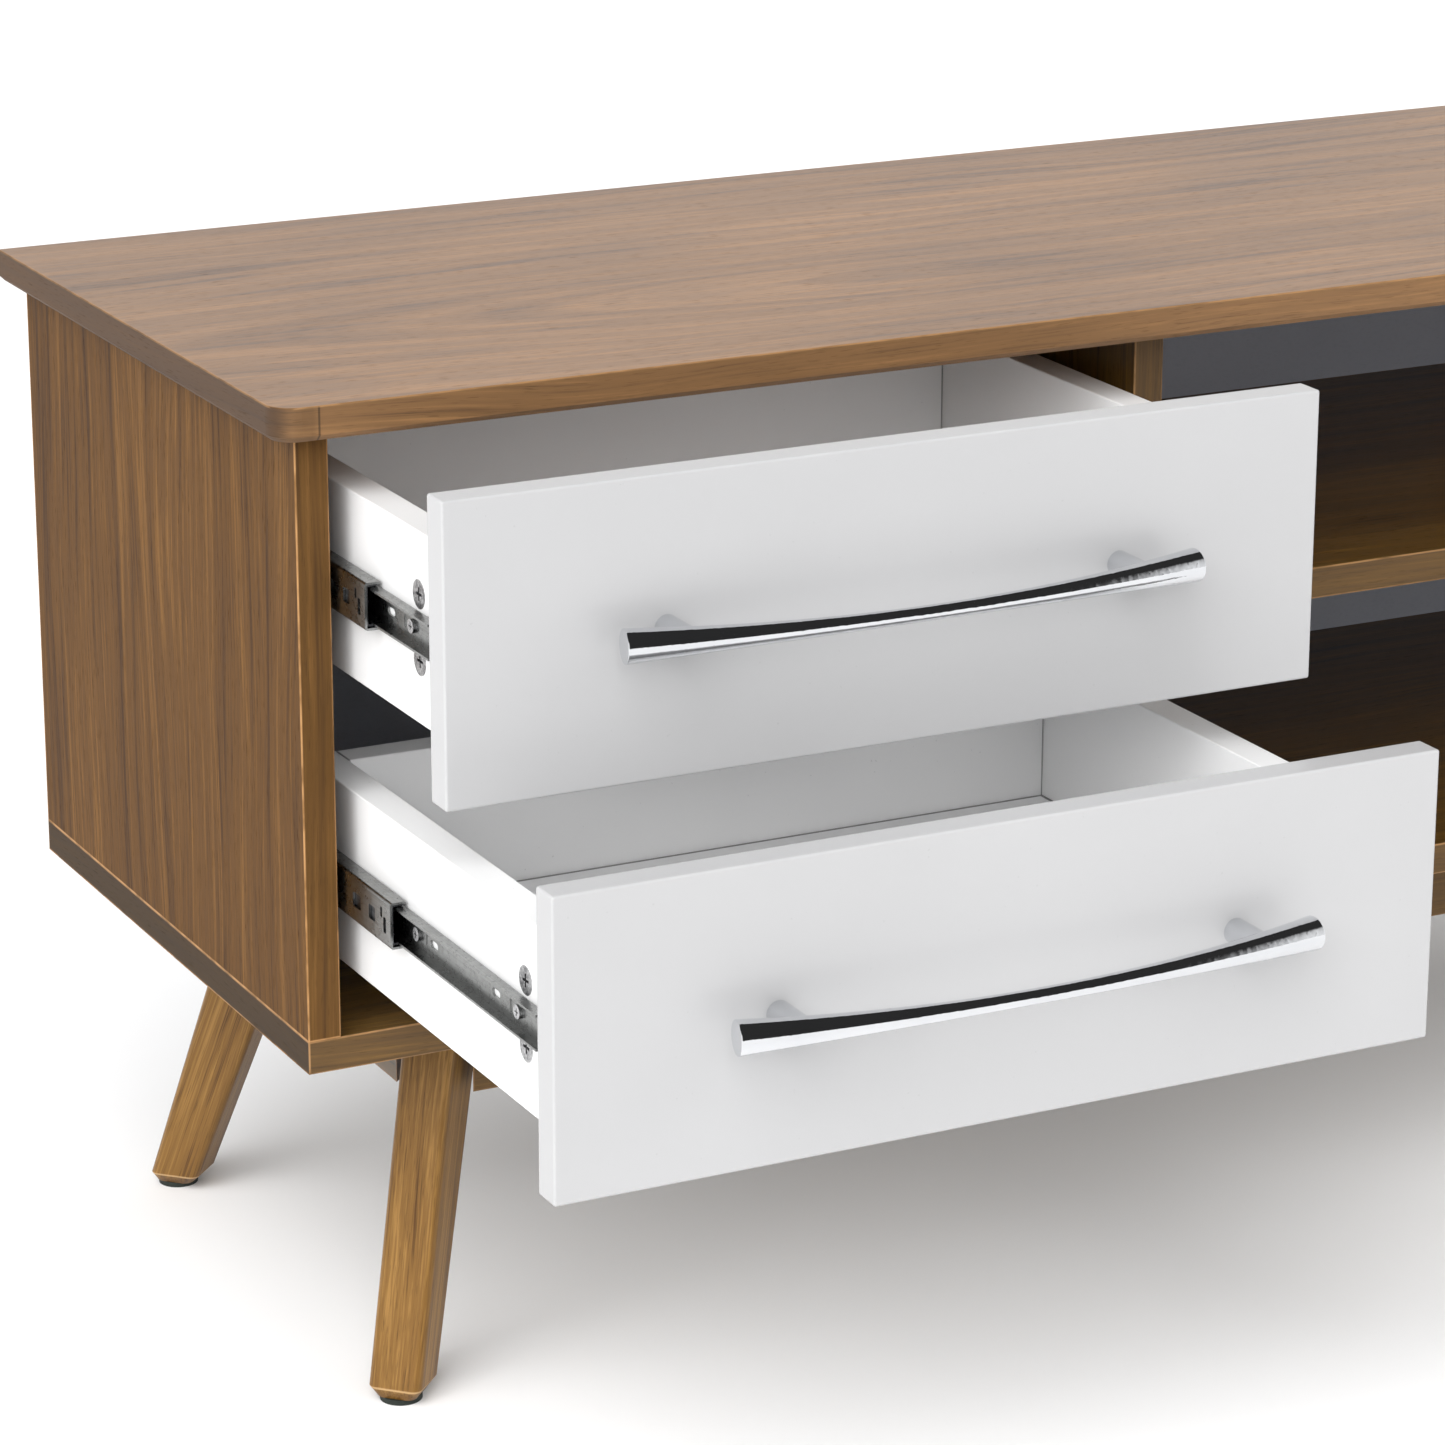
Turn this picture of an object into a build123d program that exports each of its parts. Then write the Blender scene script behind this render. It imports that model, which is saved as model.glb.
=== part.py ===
from build123d import *
from math import sqrt
import os

# A low console cabinet: two drawers on the left, an open bay with a shelf on the right,
# on four splayed legs.  Both drawers are drawn partly pulled out.
# The origin is on the floor, under the middle of the object's outline.
# +X runs along the cabinet, -Y is its front and +Z is up.  All sizes are millimetres.

# ------------------------------------------------------------------ driving dimensions
BOARD = 18.0                    # thickness of every carcass board and drawer wall
TOP_WIDTH = 1200.0
CARCASS_DEPTH = 396.0
CARCASS_HEIGHT = 320.0          # clear height between the bottom board and the top board
TOP_OVERHANG_SIDE = 15.5
TOP_OVERHANG_FRONT = 16.0
TOP_CORNER_RADIUS = 14.0
TOP_BEVEL = 3.0                 # bevel under the top board's edge
TOP_ARRIS = 0.8                 # softened upper edge of the top board
ARRIS = 0.6                     # softened edge of the other boards

DRAWER_BAY = 478.0              # clear width between the left side and the divider
DIVIDER_SETBACK = 20.0          # the drawer fronts close in front of the divider
SHELF_SETBACK = 20.0
SHELF_TOP = 169.0               # above the bottom board

BACK_THICKNESS = 5.0
BACK_REBATE = 10.0              # width of the rebate in the side panels
BACK_SCREW_INSET = 5.0
BACK_SCREW_END = 30.0
BACK_SCREWS_HIGH = 4
BACK_SCREWS_LONG = 3

RAIL_HEIGHT = 50.0
RAIL_INSET_SIDE = 85.0          # side rails, from the carcass side
RAIL_INSET_FRONT = 56.0         # long rails, from the carcass front and back
RAIL_LEG_GAP = 7.0              # between a rail's mitred end and the leg's cheek

LEG_HEIGHT = 204.0
LEG_TOP_INSET_SIDE = 113.5      # centre of the leg's top, from the carcass side
LEG_TOP_INSET_FRONT = 84.5      # centre of the leg's top, from the carcass front
LEG_SPREAD = 52.0               # how far the foot stands out, along X and along Y
LEG_THICKNESS = 30.0
LEG_TOP_WIDTH = 44.0            # along the splay
LEG_FOOT_WIDTH = 30.0
LEG_CORNER_RADIUS = 5.0
LEG_FOOT_BEVEL = 4.0
LEG_FOOT_BEVEL_HEIGHT = 6.0
GLIDE_HEIGHT = 3.0
GLIDE_RADIUS = 11.5

FRONT_WIDTH = 493.0
FRONT_HEIGHT = 155.0
FRONT_LEFT_GAP = 2.2
FRONT_BOTTOM_GAP = 2.0          # under the lower front
FRONT_MIDDLE_GAP = 4.5          # between the two fronts
FRONT_EDGE_RADIUS = 1.4

RUNNER_SPACE = 12.7             # between the drawer wall and the carcass, each side
WALL_HEIGHT = 98.0
DRAWER_INSIDE_DEPTH = 292.0
WALL_ARRIS = 0.8
FLOOR_THICKNESS = 5.0
FLOOR_HEIGHT = 12.0             # underside of the drawer floor, above the wall's lower edge
GROOVE_DEPTH = 6.0
GROOVE_END_GAP = 0.5

UPPER_OPEN = 134.0              # how far each drawer is pulled out
LOWER_OPEN = 254.0
UPPER_MIDDLE_SHARE = 0.48       # the middle runner's travel for each unit of drawer travel
LOWER_MIDDLE_SHARE = 0.35

RUNNER_LENGTH = 300.0
MIDDLE_RUNNER_LENGTH = 290.0
RUNNER_SETBACK = 27.5           # runner's front end, behind the closed drawer's face
RUNNER_STEEL = 1.2
CABINET_RUNNER_HEIGHT = 35.0
CABINET_RUNNER_TIP = 10.0       # flange tip, from the carcass wall
MIDDLE_RUNNER_HEIGHT = 24.6
MIDDLE_RUNNER_WEB = 2.6         # outer face of its web, from the carcass wall
MIDDLE_RUNNER_TIP = 11.2
DRAWER_RUNNER_HEIGHT = 18.4
DRAWER_RUNNER_TIP = 6.0
CAGE_WEB = 3.9
CAGE_TIP = 10.6
CAGE_HEIGHT = 21.8
CAGE_LENGTH = 90.0
CAGE_SETBACK = 2.0
BEND_RADIUS = 1.6
END_TAB_REACH = 4.0
END_TAB_HEIGHT = 15.0
DRAWER_RUNNER_SLOTS = (57.0, 131.0, 210.0)      # oblong holes, from the runner's front end
DRAWER_RUNNER_CUTS = (40.0, 140.0, 225.0)       # short upright slots, from the front end
DRAWER_RUNNER_SCREWS = (30.0, 150.0, 270.0)
CABINET_RUNNER_SCREWS = (40.0, 160.0, 280.0)
MIDDLE_RUNNER_SLOTS = (80.0, 200.0)
MIDDLE_RUNNER_WINDOWS = (       # from the runner's front end, above its middle, length, height
    (43.0, 0.0, 10.0, 7.6),
    (23.5, 0.0, 8.0, 7.6),
    (11.5, 4.4, 2.2, 5.6),
    (7.4, -1.4, 3.4, 8.4),
)
WINDOW_CORNER_RADIUS = 0.9
SLOT_LENGTH = 9.0
SLOT_WIDTH = 4.2
CUT_LENGTH = 7.0
CUT_WIDTH = 2.6

CAM_RADIUS = 7.5
CAM_DEPTH = 12.0
CAM_FROM_FRONT = 35.0           # behind the back of the drawer front
CAM_SPACING = 34.0
CAM_CROSS_LENGTH = 7.0
CAM_CROSS_WIDTH = 1.5
CAM_CROSS_DEPTH = 2.0

HANDLE_LENGTH = 322.0
HANDLE_POST_SPACING = 256.0
HANDLE_POST_RADIUS = 6.8
HANDLE_END_OFFSET = 20.0        # the bar's centre line in front of the drawer front, at its ends
HANDLE_BOW_OFFSET = 35.0        # and at its middle
HANDLE_END_RADIUS = 9.0
HANDLE_MIDDLE_RADIUS = 4.0
HANDLE_SECTIONS = 9
HANDLE_END_ARRIS = 0.7

SCREW_SHANK_RADIUS = 1.75
SCREW_SHANK_LENGTH = 13.0
SCREW_CROSS_LENGTH = 3.8
SCREW_CROSS_WIDTH = 0.8
BACK_SCREW_HEAD = (3.5, 2.0)            # radius and height
DRAWER_SCREW_HEAD = (3.6, 1.8)
CABINET_SCREW_HEAD = (3.6, 1.0)
HANDLE_SCREW_HEAD = (4.2, 2.4)
HANDLE_SCREW_RADIUS = 2.0
HANDLE_SCREW_BITE = 9.0                 # how deep the screw goes into the handle's post

# ------------------------------------------------------------------ derived places
CARCASS_WIDTH = TOP_WIDTH - 2 * TOP_OVERHANG_SIDE
FRONT_REACH = LOWER_OPEN + HANDLE_BOW_OFFSET + HANDLE_MIDDLE_RADIUS     # in front of the carcass
BACK_REACH = CARCASS_DEPTH + BACK_SCREW_HEAD[1]
LEFT = -CARCASS_WIDTH / 2
RIGHT = CARCASS_WIDTH / 2
FRONT = (FRONT_REACH - BACK_REACH) / 2
BACK = FRONT + CARCASS_DEPTH
UNDERSIDE = GLIDE_HEIGHT + LEG_HEIGHT
DECK = UNDERSIDE + BOARD
CEILING = DECK + CARCASS_HEIGHT
TOP = CEILING + BOARD
DIVIDER_LEFT = LEFT + BOARD + DRAWER_BAY
DIVIDER_RIGHT = DIVIDER_LEFT + BOARD
BACK_FACE = BACK - BACK_THICKNESS       # front face of the back panel

FRONT_LEFT = LEFT + BOARD + FRONT_LEFT_GAP
FRONT_MIDDLE = FRONT_LEFT + FRONT_WIDTH / 2
BOX_LEFT = LEFT + BOARD + RUNNER_SPACE
BOX_RIGHT = DIVIDER_LEFT - RUNNER_SPACE
WALL_MARGIN = (FRONT_HEIGHT - WALL_HEIGHT) / 2
BOX_LENGTH = DRAWER_INSIDE_DEPTH + BOARD

DRAWERS = {
    "upper": (DECK + FRONT_BOTTOM_GAP + FRONT_HEIGHT + FRONT_MIDDLE_GAP, UPPER_OPEN, UPPER_MIDDLE_SHARE),
    "lower": (DECK + FRONT_BOTTOM_GAP, LOWER_OPEN, LOWER_MIDDLE_SHARE),
}
# Each side's carcass wall, drawer wall and the direction from the one to the other.
SIDES = {
    "left": (LEFT + BOARD, BOX_LEFT, 1),
    "right": (DIVIDER_LEFT, BOX_RIGHT, -1),
}

os.makedirs("parts", exist_ok=True)


def save(piece, node):
    """Label a finished piece and write its STEP file."""
    piece.part.label = node
    export_step(piece.part, f"parts/{node}.step")


def block(x, y, z, mode=Mode.ADD):
    """Add or cut a rectangular block given by its (low, high) spans along X, Y and Z."""
    with Locations((x[0], y[0], z[0])):
        Box(x[1] - x[0], y[1] - y[0], z[1] - z[0], align=(Align.MIN, Align.MIN, Align.MIN), mode=mode)


def span(start, end):
    """A (low, high) pair from two values in either order."""
    return (min(start, end), max(start, end))


def screw_places(plane_points, direction):
    """Planes at the given points, each looking along the direction that its screw is driven."""
    return [Plane(origin=point, z_dir=direction) for point in plane_points]


def screws(places, head, shank_radius, shank_length):
    """Cross-head screws: each plane lies on the clamped face and looks along the shank."""
    head_radius, head_height = head
    with BuildPart() as group:
        for place in places:
            with BuildSketch(place.offset(-head_height)):
                Circle(head_radius)
            extrude(amount=head_height)
            with BuildSketch(place):
                Circle(shank_radius)
            extrude(amount=shank_length)
            with BuildSketch(place.offset(-head_height)):
                Rectangle(SCREW_CROSS_LENGTH, SCREW_CROSS_WIDTH)
                Rectangle(SCREW_CROSS_WIDTH, SCREW_CROSS_LENGTH)
            extrude(amount=head_height / 2, mode=Mode.SUBTRACT)
    return group


def drill(places, radius, depth):
    """Cut a round hole at each plane, along the plane's direction."""
    for place in places:
        with Locations(place.location):
            Cylinder(radius, depth, align=(Align.CENTER, Align.CENTER, Align.MIN), mode=Mode.SUBTRACT)


# ------------------------------------------------------------------ runner and drawer places
def runner_height(name):
    """Centre height of a drawer's runners: the middle of its walls."""
    return DRAWERS[name][0] + FRONT_HEIGHT / 2


def drawer_face(name):
    """Y of a drawer front's outer face, as pulled out."""
    return FRONT - DRAWERS[name][1]


def cabinet_screw_places(side, names=("upper", "lower")):
    """Screws through the outer runners into the carcass wall."""
    wall, _, inward = SIDES[side]
    points = [(wall + inward * RUNNER_STEEL, FRONT + RUNNER_SETBACK + along, runner_height(name))
              for name in names for along in CABINET_RUNNER_SCREWS]
    return screw_places(points, (-inward, 0, 0))


def drawer_screw_places(name, side):
    """Screws through an inner runner into the drawer wall."""
    _, wall, inward = SIDES[side]
    points = [(wall - inward * RUNNER_STEEL, drawer_face(name) + RUNNER_SETBACK + along, runner_height(name))
              for along in DRAWER_RUNNER_SCREWS]
    return screw_places(points, (inward, 0, 0))


def cam_places(name, side):
    """Cam locks in the inner face of a drawer wall, where it meets the front."""
    _, wall, inward = SIDES[side]
    y = drawer_face(name) + BOARD + CAM_FROM_FRONT
    points = [(wall, y, runner_height(name) + offset) for offset in (-CAM_SPACING / 2, CAM_SPACING / 2)]
    return screw_places(points, (inward, 0, 0))


def handle_screw_places(name):
    """Screws from inside the drawer front into the handle's posts."""
    points = [(FRONT_MIDDLE + offset, drawer_face(name) + BOARD, runner_height(name))
              for offset in (-HANDLE_POST_SPACING / 2, HANDLE_POST_SPACING / 2)]
    return screw_places(points, (0, -1, 0))


def back_screw_places():
    """Screws through the back panel into both sides, the divider and the shelf."""
    upright_x = (LEFT + BOARD - BACK_SCREW_INSET, DIVIDER_LEFT + BOARD / 2, RIGHT - BOARD + BACK_SCREW_INSET)
    step = (CARCASS_HEIGHT - 2 * BACK_SCREW_END) / (BACK_SCREWS_HIGH - 1)
    points = [(x, BACK, DECK + BACK_SCREW_END + step * i) for x in upright_x for i in range(BACK_SCREWS_HIGH)]
    bay = RIGHT - BOARD - DIVIDER_RIGHT
    shelf_z = DECK + SHELF_TOP - BOARD / 2
    points += [(DIVIDER_RIGHT + bay * (i + 1) / (BACK_SCREWS_LONG + 1), BACK, shelf_z)
               for i in range(BACK_SCREWS_LONG)]
    return screw_places(points, (0, -1, 0))


# ------------------------------------------------------------------ carcass
with BuildPart() as top_board:
    block((-TOP_WIDTH / 2, TOP_WIDTH / 2), (FRONT - TOP_OVERHANG_FRONT, BACK), (CEILING, TOP))
    fillet(top_board.edges().filter_by(Axis.Z).group_by(Axis.Y)[0], TOP_CORNER_RADIUS)
    fillet(top_board.faces().sort_by(Axis.Z)[-1].edges(), TOP_ARRIS)
    under = top_board.faces().sort_by(Axis.Z)[0].edges()
    chamfer(under.sort_by(Axis.Y)[:-1], TOP_BEVEL)
save(top_board, "top_board")

with BuildPart() as bottom_board:
    block((LEFT, RIGHT), (FRONT, BACK), (UNDERSIDE, DECK))
    chamfer(bottom_board.edges().group_by(Axis.Y)[0], ARRIS)
save(bottom_board, "bottom_board")

for side, (outer, inner, direction) in {
    "left": (LEFT, LEFT + BOARD, 1),
    "right": (RIGHT, RIGHT - BOARD, -1),
}.items():
    with BuildPart() as side_panel:
        block(span(outer, inner), (FRONT, BACK), (DECK, CEILING))
        chamfer(side_panel.edges().filter_by(Axis.Z).group_by(Axis.Y)[0], ARRIS)
        rebate = span(inner, inner - direction * BACK_REBATE)
        block(rebate, (BACK_FACE, BACK), (DECK, CEILING), mode=Mode.SUBTRACT)
        drill(back_screw_places(), SCREW_SHANK_RADIUS, SCREW_SHANK_LENGTH)
        if side == "left":
            drill(cabinet_screw_places("left"), SCREW_SHANK_RADIUS, SCREW_SHANK_LENGTH)
    save(side_panel, f"{side}_side_panel")

with BuildPart() as divider_panel:
    block((DIVIDER_LEFT, DIVIDER_RIGHT), (FRONT + DIVIDER_SETBACK, BACK_FACE), (DECK, CEILING))
    chamfer(divider_panel.edges().filter_by(Axis.Z).group_by(Axis.Y)[0], ARRIS)
    drill(back_screw_places(), SCREW_SHANK_RADIUS, SCREW_SHANK_LENGTH)
    drill(cabinet_screw_places("right"), SCREW_SHANK_RADIUS, SCREW_SHANK_LENGTH)
save(divider_panel, "divider_panel")

with BuildPart() as shelf_board:
    block((DIVIDER_RIGHT, RIGHT - BOARD), (FRONT + SHELF_SETBACK, BACK_FACE),
          (DECK + SHELF_TOP - BOARD, DECK + SHELF_TOP))
    chamfer(shelf_board.edges().filter_by(Axis.X).group_by(Axis.Y)[0], ARRIS)
    drill(back_screw_places(), SCREW_SHANK_RADIUS, SCREW_SHANK_LENGTH)
save(shelf_board, "shelf_board")

with BuildPart() as back_panel:
    edge = BOARD - BACK_REBATE
    block((LEFT + edge, RIGHT - edge), (BACK_FACE, BACK), (DECK, CEILING))
    drill(back_screw_places(), SCREW_SHANK_RADIUS, BACK_THICKNESS)
save(back_panel, "back_panel")

back_screws = screws(back_screw_places(), BACK_SCREW_HEAD, SCREW_SHANK_RADIUS, SCREW_SHANK_LENGTH)
save(back_screws, "back_panel_screws")

# ------------------------------------------------------------------ rails under the bottom board
MIDDLE_DEPTH = FRONT + CARCASS_DEPTH / 2
# The leg's cheeks stand upright along the diagonal, so each rail end is mitred beside them.
CHEEK_OFFSET = (LEG_THICKNESS / 2 + RAIL_LEG_GAP) * sqrt(2)
LONG_RAIL_OUTER = RAIL_INSET_FRONT
LONG_RAIL_INNER = RAIL_INSET_FRONT + BOARD
SIDE_RAIL_OUTER = RAIL_INSET_SIDE
SIDE_RAIL_INNER = RAIL_INSET_SIDE + BOARD


def long_rail_end(inset):
    """Where a long rail's end is, from the carcass side, at a distance in from the front."""
    return LEG_TOP_INSET_SIDE + (inset - LEG_TOP_INSET_FRONT) + CHEEK_OFFSET


def side_rail_end(inset):
    """Where a side rail's end is, from the carcass front, at a distance in from the side."""
    return LEG_TOP_INSET_FRONT + (inset - LEG_TOP_INSET_SIDE) + CHEEK_OFFSET


for node, facing in {"front_rail": -1, "back_rail": 1}.items():
    with BuildPart() as rail:
        outer_x = RIGHT - long_rail_end(LONG_RAIL_OUTER)
        inner_x = RIGHT - long_rail_end(LONG_RAIL_INNER)
        outer_y = MIDDLE_DEPTH + facing * (CARCASS_DEPTH / 2 - LONG_RAIL_OUTER)
        inner_y = MIDDLE_DEPTH + facing * (CARCASS_DEPTH / 2 - LONG_RAIL_INNER)
        with BuildSketch(Plane.XY.offset(UNDERSIDE - RAIL_HEIGHT)):
            with BuildLine():
                Polyline((-outer_x, outer_y), (outer_x, outer_y),
                         (inner_x, inner_y), (-inner_x, inner_y), close=True)
            make_face()
        extrude(amount=RAIL_HEIGHT)
    save(rail, node)

for node, facing in {"left_rail": -1, "right_rail": 1}.items():
    with BuildPart() as rail:
        outer_x = facing * (RIGHT - SIDE_RAIL_OUTER)
        inner_x = facing * (RIGHT - SIDE_RAIL_INNER)
        outer_reach = CARCASS_DEPTH / 2 - side_rail_end(SIDE_RAIL_OUTER)
        inner_reach = CARCASS_DEPTH / 2 - side_rail_end(SIDE_RAIL_INNER)
        with BuildSketch(Plane.XY.offset(UNDERSIDE - RAIL_HEIGHT)):
            with BuildLine():
                Polyline((outer_x, MIDDLE_DEPTH - outer_reach), (outer_x, MIDDLE_DEPTH + outer_reach),
                         (inner_x, MIDDLE_DEPTH + inner_reach), (inner_x, MIDDLE_DEPTH - inner_reach),
                         close=True)
            make_face()
        extrude(amount=RAIL_HEIGHT)
    save(rail, node)

# ------------------------------------------------------------------ legs and glides
LEG_CORNERS = {
    "front_left": (-1, -1),
    "front_right": (1, -1),
    "rear_left": (-1, 1),
    "rear_right": (1, 1),
}


def leg_plane(corner, height):
    """A level plane on the leg's centre line, with its X axis along the splay."""
    to_x, to_y = LEG_CORNERS[corner]
    spread = LEG_SPREAD * (UNDERSIDE - height) / LEG_HEIGHT
    x = to_x * (CARCASS_WIDTH / 2 - LEG_TOP_INSET_SIDE + spread)
    y = MIDDLE_DEPTH + to_y * (CARCASS_DEPTH / 2 - LEG_TOP_INSET_FRONT + spread)
    return Plane(origin=(x, y, height), x_dir=(to_x, to_y, 0), z_dir=(0, 0, 1))


for corner in LEG_CORNERS:
    with BuildPart() as leg:
        with BuildSketch(leg_plane(corner, UNDERSIDE)):
            RectangleRounded(LEG_TOP_WIDTH, LEG_THICKNESS, LEG_CORNER_RADIUS)
        with BuildSketch(leg_plane(corner, GLIDE_HEIGHT + LEG_FOOT_BEVEL_HEIGHT)):
            RectangleRounded(LEG_FOOT_WIDTH, LEG_THICKNESS, LEG_CORNER_RADIUS)
        with BuildSketch(leg_plane(corner, GLIDE_HEIGHT)):
            RectangleRounded(LEG_FOOT_WIDTH - 2 * LEG_FOOT_BEVEL, LEG_THICKNESS - 2 * LEG_FOOT_BEVEL,
                             LEG_CORNER_RADIUS)
        loft(ruled=True)
    save(leg, f"{corner}_leg")

with BuildPart() as leg_glides:
    for corner in LEG_CORNERS:
        with BuildSketch(leg_plane(corner, 0)):
            Circle(GLIDE_RADIUS)
        extrude(amount=GLIDE_HEIGHT)
save(leg_glides, "leg_glides")


# ------------------------------------------------------------------ runners
def runner_plane(side, front_end, height):
    """The runner's cross-section: local X leads from the carcass wall to the drawer."""
    wall, _, inward = SIDES[side]
    return Plane(origin=(wall, front_end, height), x_dir=(inward, 0, 0), z_dir=(0, 1, 0))


def web_plane(side, web, front_end, height):
    """The outer face of a runner's web: local X leads back along the runner."""
    wall, _, inward = SIDES[side]
    return Plane(origin=(wall + inward * web, front_end, height), x_dir=(0, 1, 0), z_dir=(inward, 0, 0))


def channel_profile(profile, web, tip, height):
    """Draw a bent channel in a runner's cross-section, from its web to its flange tips."""
    opening = 1 if tip > web else -1
    with Locations(((web + tip) / 2, 0)):
        Rectangle(abs(tip - web), height)
    fillet(profile.vertices().group_by(Axis.X)[0 if opening > 0 else -1], BEND_RADIUS)
    with Locations(((web + tip) / 2 + opening * RUNNER_STEEL, 0)):
        Rectangle(abs(tip - web), height - 2 * RUNNER_STEEL, mode=Mode.SUBTRACT)


for name in DRAWERS:
    height = runner_height(name)
    _, pulled_out, middle_share = DRAWERS[name]
    cabinet_end = FRONT + RUNNER_SETBACK
    middle_end = cabinet_end - middle_share * pulled_out
    drawer_end = cabinet_end - pulled_out
    for side, (_, drawer_wall, inward) in SIDES.items():
        with BuildPart() as cabinet_runner:
            with BuildSketch(runner_plane(side, cabinet_end, height)) as profile:
                channel_profile(profile, 0, CABINET_RUNNER_TIP, CABINET_RUNNER_HEIGHT)
            extrude(amount=RUNNER_LENGTH)
            drill(cabinet_screw_places(side, (name,)), SCREW_SHANK_RADIUS, RUNNER_STEEL)
        save(cabinet_runner, f"{name}_{side}_cabinet_runner")

        with BuildPart() as middle_runner:
            with BuildSketch(runner_plane(side, middle_end, height)) as profile:
                channel_profile(profile, MIDDLE_RUNNER_WEB, MIDDLE_RUNNER_TIP, MIDDLE_RUNNER_HEIGHT)
            extrude(amount=MIDDLE_RUNNER_LENGTH)
            with BuildSketch(web_plane(side, MIDDLE_RUNNER_WEB, middle_end, height)):
                with Locations(*[(along, 0) for along in MIDDLE_RUNNER_SLOTS]):
                    SlotOverall(SLOT_LENGTH, SLOT_WIDTH)
                for along, rise, length, tall in MIDDLE_RUNNER_WINDOWS:
                    with Locations((along, rise * inward)):
                        RectangleRounded(length, tall, WINDOW_CORNER_RADIUS)
            extrude(amount=RUNNER_STEEL, mode=Mode.SUBTRACT)
        save(middle_runner, f"{name}_{side}_middle_runner")

        with BuildPart() as ball_cage:
            with BuildSketch(runner_plane(side, middle_end + CAGE_SETBACK, height)) as profile:
                channel_profile(profile, CAGE_WEB, CAGE_TIP, CAGE_HEIGHT)
            extrude(amount=CAGE_LENGTH)
        save(ball_cage, f"{name}_{side}_ball_cage")

        with BuildPart() as drawer_runner:
            with BuildSketch(runner_plane(side, drawer_end, height)) as profile:
                channel_profile(profile, RUNNER_SPACE, DRAWER_RUNNER_TIP, DRAWER_RUNNER_HEIGHT)
            extrude(amount=RUNNER_LENGTH)
            block(span(drawer_wall, drawer_wall - inward * (RUNNER_STEEL + END_TAB_REACH)),
                  (drawer_end, drawer_end + RUNNER_STEEL),
                  (height - END_TAB_HEIGHT / 2, height + END_TAB_HEIGHT / 2))
            with BuildSketch(web_plane(side, RUNNER_SPACE, drawer_end, height)):
                with Locations(*[(along, 0) for along in DRAWER_RUNNER_SLOTS]):
                    SlotOverall(SLOT_LENGTH, SLOT_WIDTH)
                with Locations(*[(along, 0) for along in DRAWER_RUNNER_CUTS]):
                    SlotOverall(CUT_LENGTH, CUT_WIDTH, rotation=90)
            extrude(amount=-RUNNER_STEEL, mode=Mode.SUBTRACT)
            drill(drawer_screw_places(name, side), SCREW_SHANK_RADIUS, RUNNER_STEEL)
        save(drawer_runner, f"{name}_{side}_drawer_runner")

    both_sides = drawer_screw_places(name, "left") + drawer_screw_places(name, "right")
    save(screws(both_sides, DRAWER_SCREW_HEAD, SCREW_SHANK_RADIUS, SCREW_SHANK_LENGTH),
         f"{name}_drawer_runner_screws")

cabinet_screws = cabinet_screw_places("left") + cabinet_screw_places("right")
save(screws(cabinet_screws, CABINET_SCREW_HEAD, SCREW_SHANK_RADIUS, SCREW_SHANK_LENGTH),
     "cabinet_runner_screws")


# ------------------------------------------------------------------ drawers
def handle_plane(name, along):
    """The handle bar's cross-section at -1 (left end) to 1 (right end), and its radius there."""
    offset = HANDLE_BOW_OFFSET - (HANDLE_BOW_OFFSET - HANDLE_END_OFFSET) * along ** 2
    radius = HANDLE_MIDDLE_RADIUS + (HANDLE_END_RADIUS - HANDLE_MIDDLE_RADIUS) * along ** 2
    slope = 4 * (HANDLE_BOW_OFFSET - HANDLE_END_OFFSET) * along / HANDLE_LENGTH
    origin = (FRONT_MIDDLE + along * HANDLE_LENGTH / 2, drawer_face(name) - offset, runner_height(name))
    return Plane(origin=origin, x_dir=(0, 0, 1), z_dir=(1, slope, 0)), radius


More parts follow.
